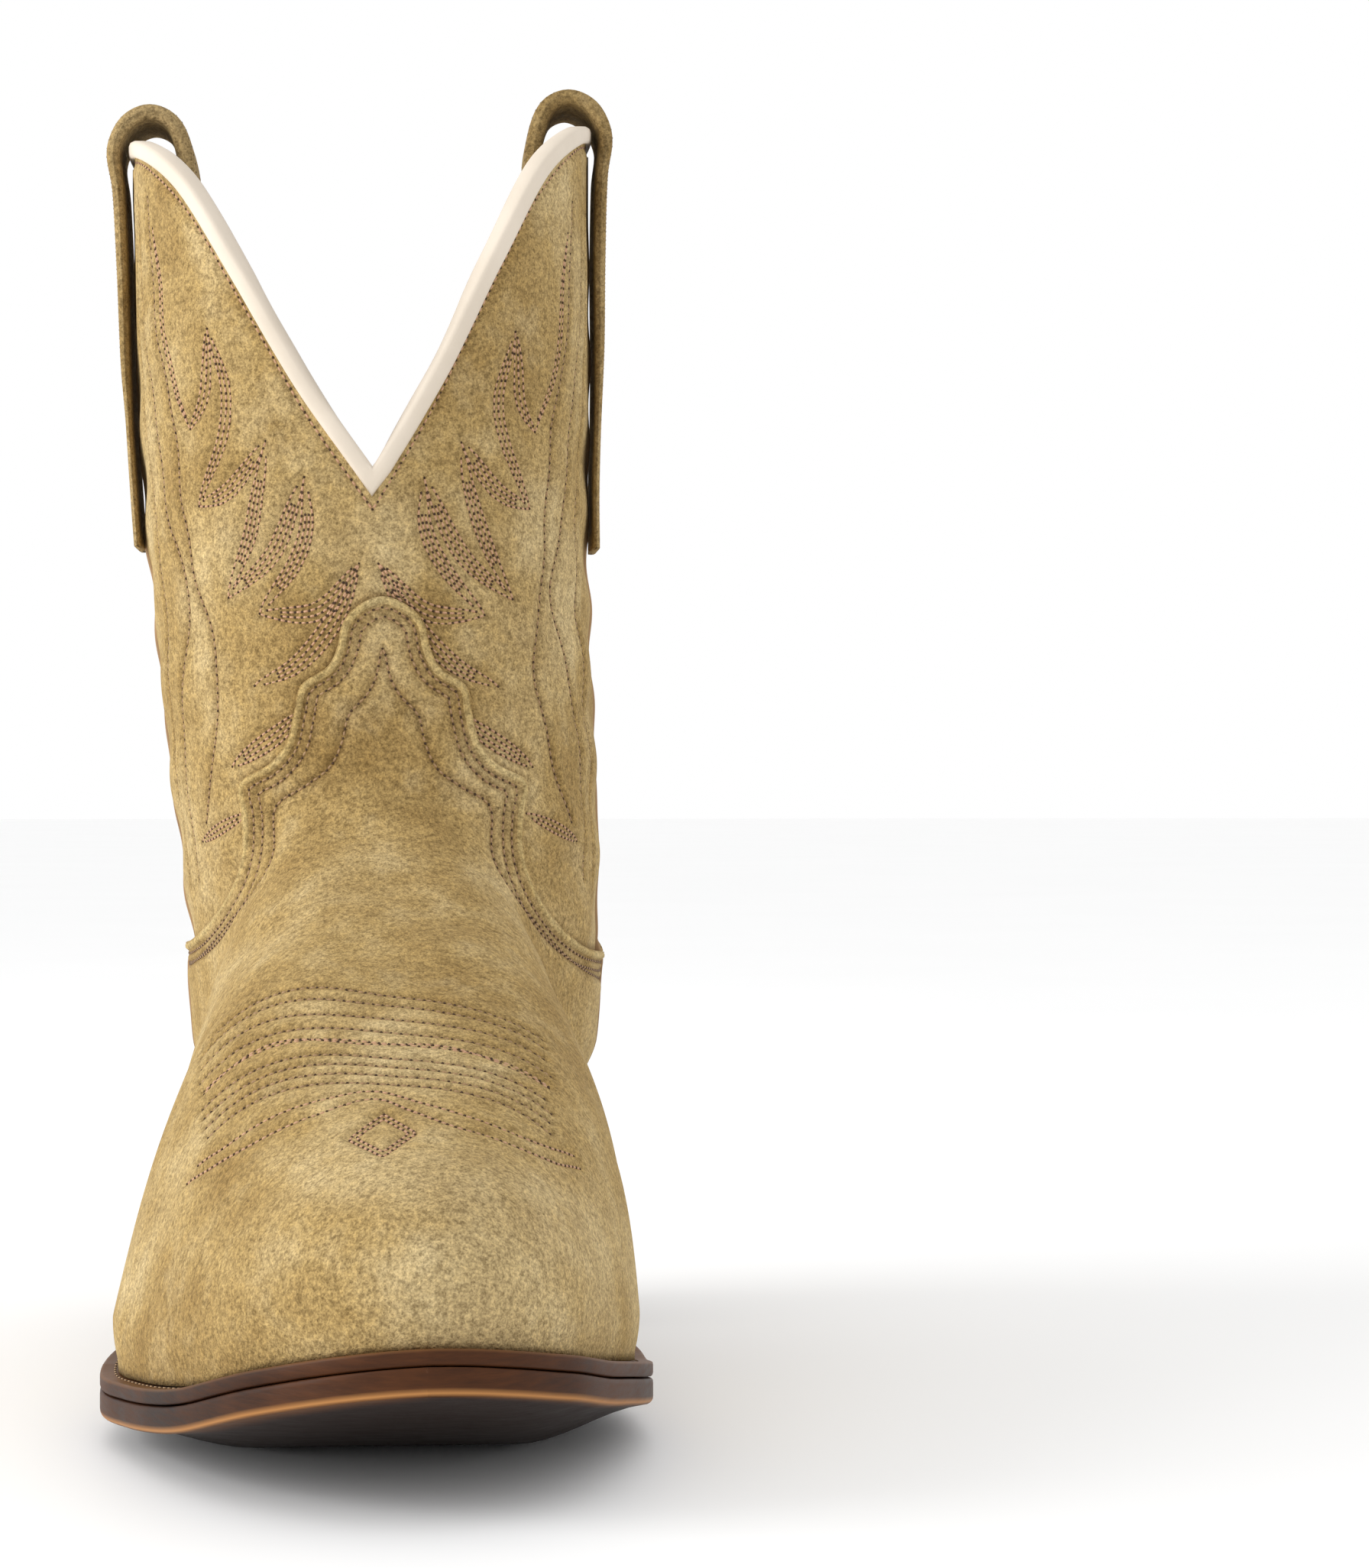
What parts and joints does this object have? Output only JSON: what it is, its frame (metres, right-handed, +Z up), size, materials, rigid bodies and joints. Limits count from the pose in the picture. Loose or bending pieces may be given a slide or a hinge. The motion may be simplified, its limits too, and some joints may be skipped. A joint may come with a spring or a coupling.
{
  "type": "cowboy boot",
  "caption": "Short pull-on western boot for the right foot: sand suede, deep V-cut top with pull straps, stacked leather heel.",
  "frame": {"origin": "centre of the boot's box on the floor it stands on", "axes": "+Z up the shaft, -Y towards the toe, +X towards the inner side of the foot"},
  "size_m": [0.109, 0.2804, 0.2701],
  "materials": {
    "suede": "sand-coloured suede, short nap",
    "binding": "smooth cream leather",
    "piping": "tan suede piping",
    "lining": "dark brown-grey soft leather",
    "sole_leather": "dark burnished edge",
    "stacked_leather": "burnished stacked leather",
    "board": "pressed leather board",
    "cork": "cork paste",
    "steel": "plain steel",
    "rubber": "matt black-brown rubber"
  },
  "bodies": {
    "root": {"outsole": "sole_leather", "welt": "sole_leather", "heel_seat_rand": "sole_leather", "bottom_filler": "cork", "shank": "steel", "insole": "board", "sock_liner": "lining", "heel_top_piece": "rubber", "heel_lift_1": "stacked_leather", "heel_lift_2": "stacked_leather", "heel_lift_3": "stacked_leather", "heel_lift_4": "stacked_leather", "heel_lift_5": "stacked_leather", "heel_nail_1": "steel", "heel_nail_2": "steel", "heel_nail_3": "steel", "heel_nail_4": "steel", "heel_nail_5": "steel", "vamp": "suede", "heel_counter": "suede", "shaft_front": "suede", "shaft_back": "suede", "toe_puff": "board", "heel_stiffener": "board", "vamp_lining": "lining", "shaft_lining_front": "lining", "shaft_lining_back": "lining", "side_piping_outer": "piping", "side_piping_inner": "piping", "top_binding_front": "binding", "top_binding_back": "binding", "pull_strap_outer": "suede", "pull_strap_inner": "suede"}
  },
  "joints": []
}
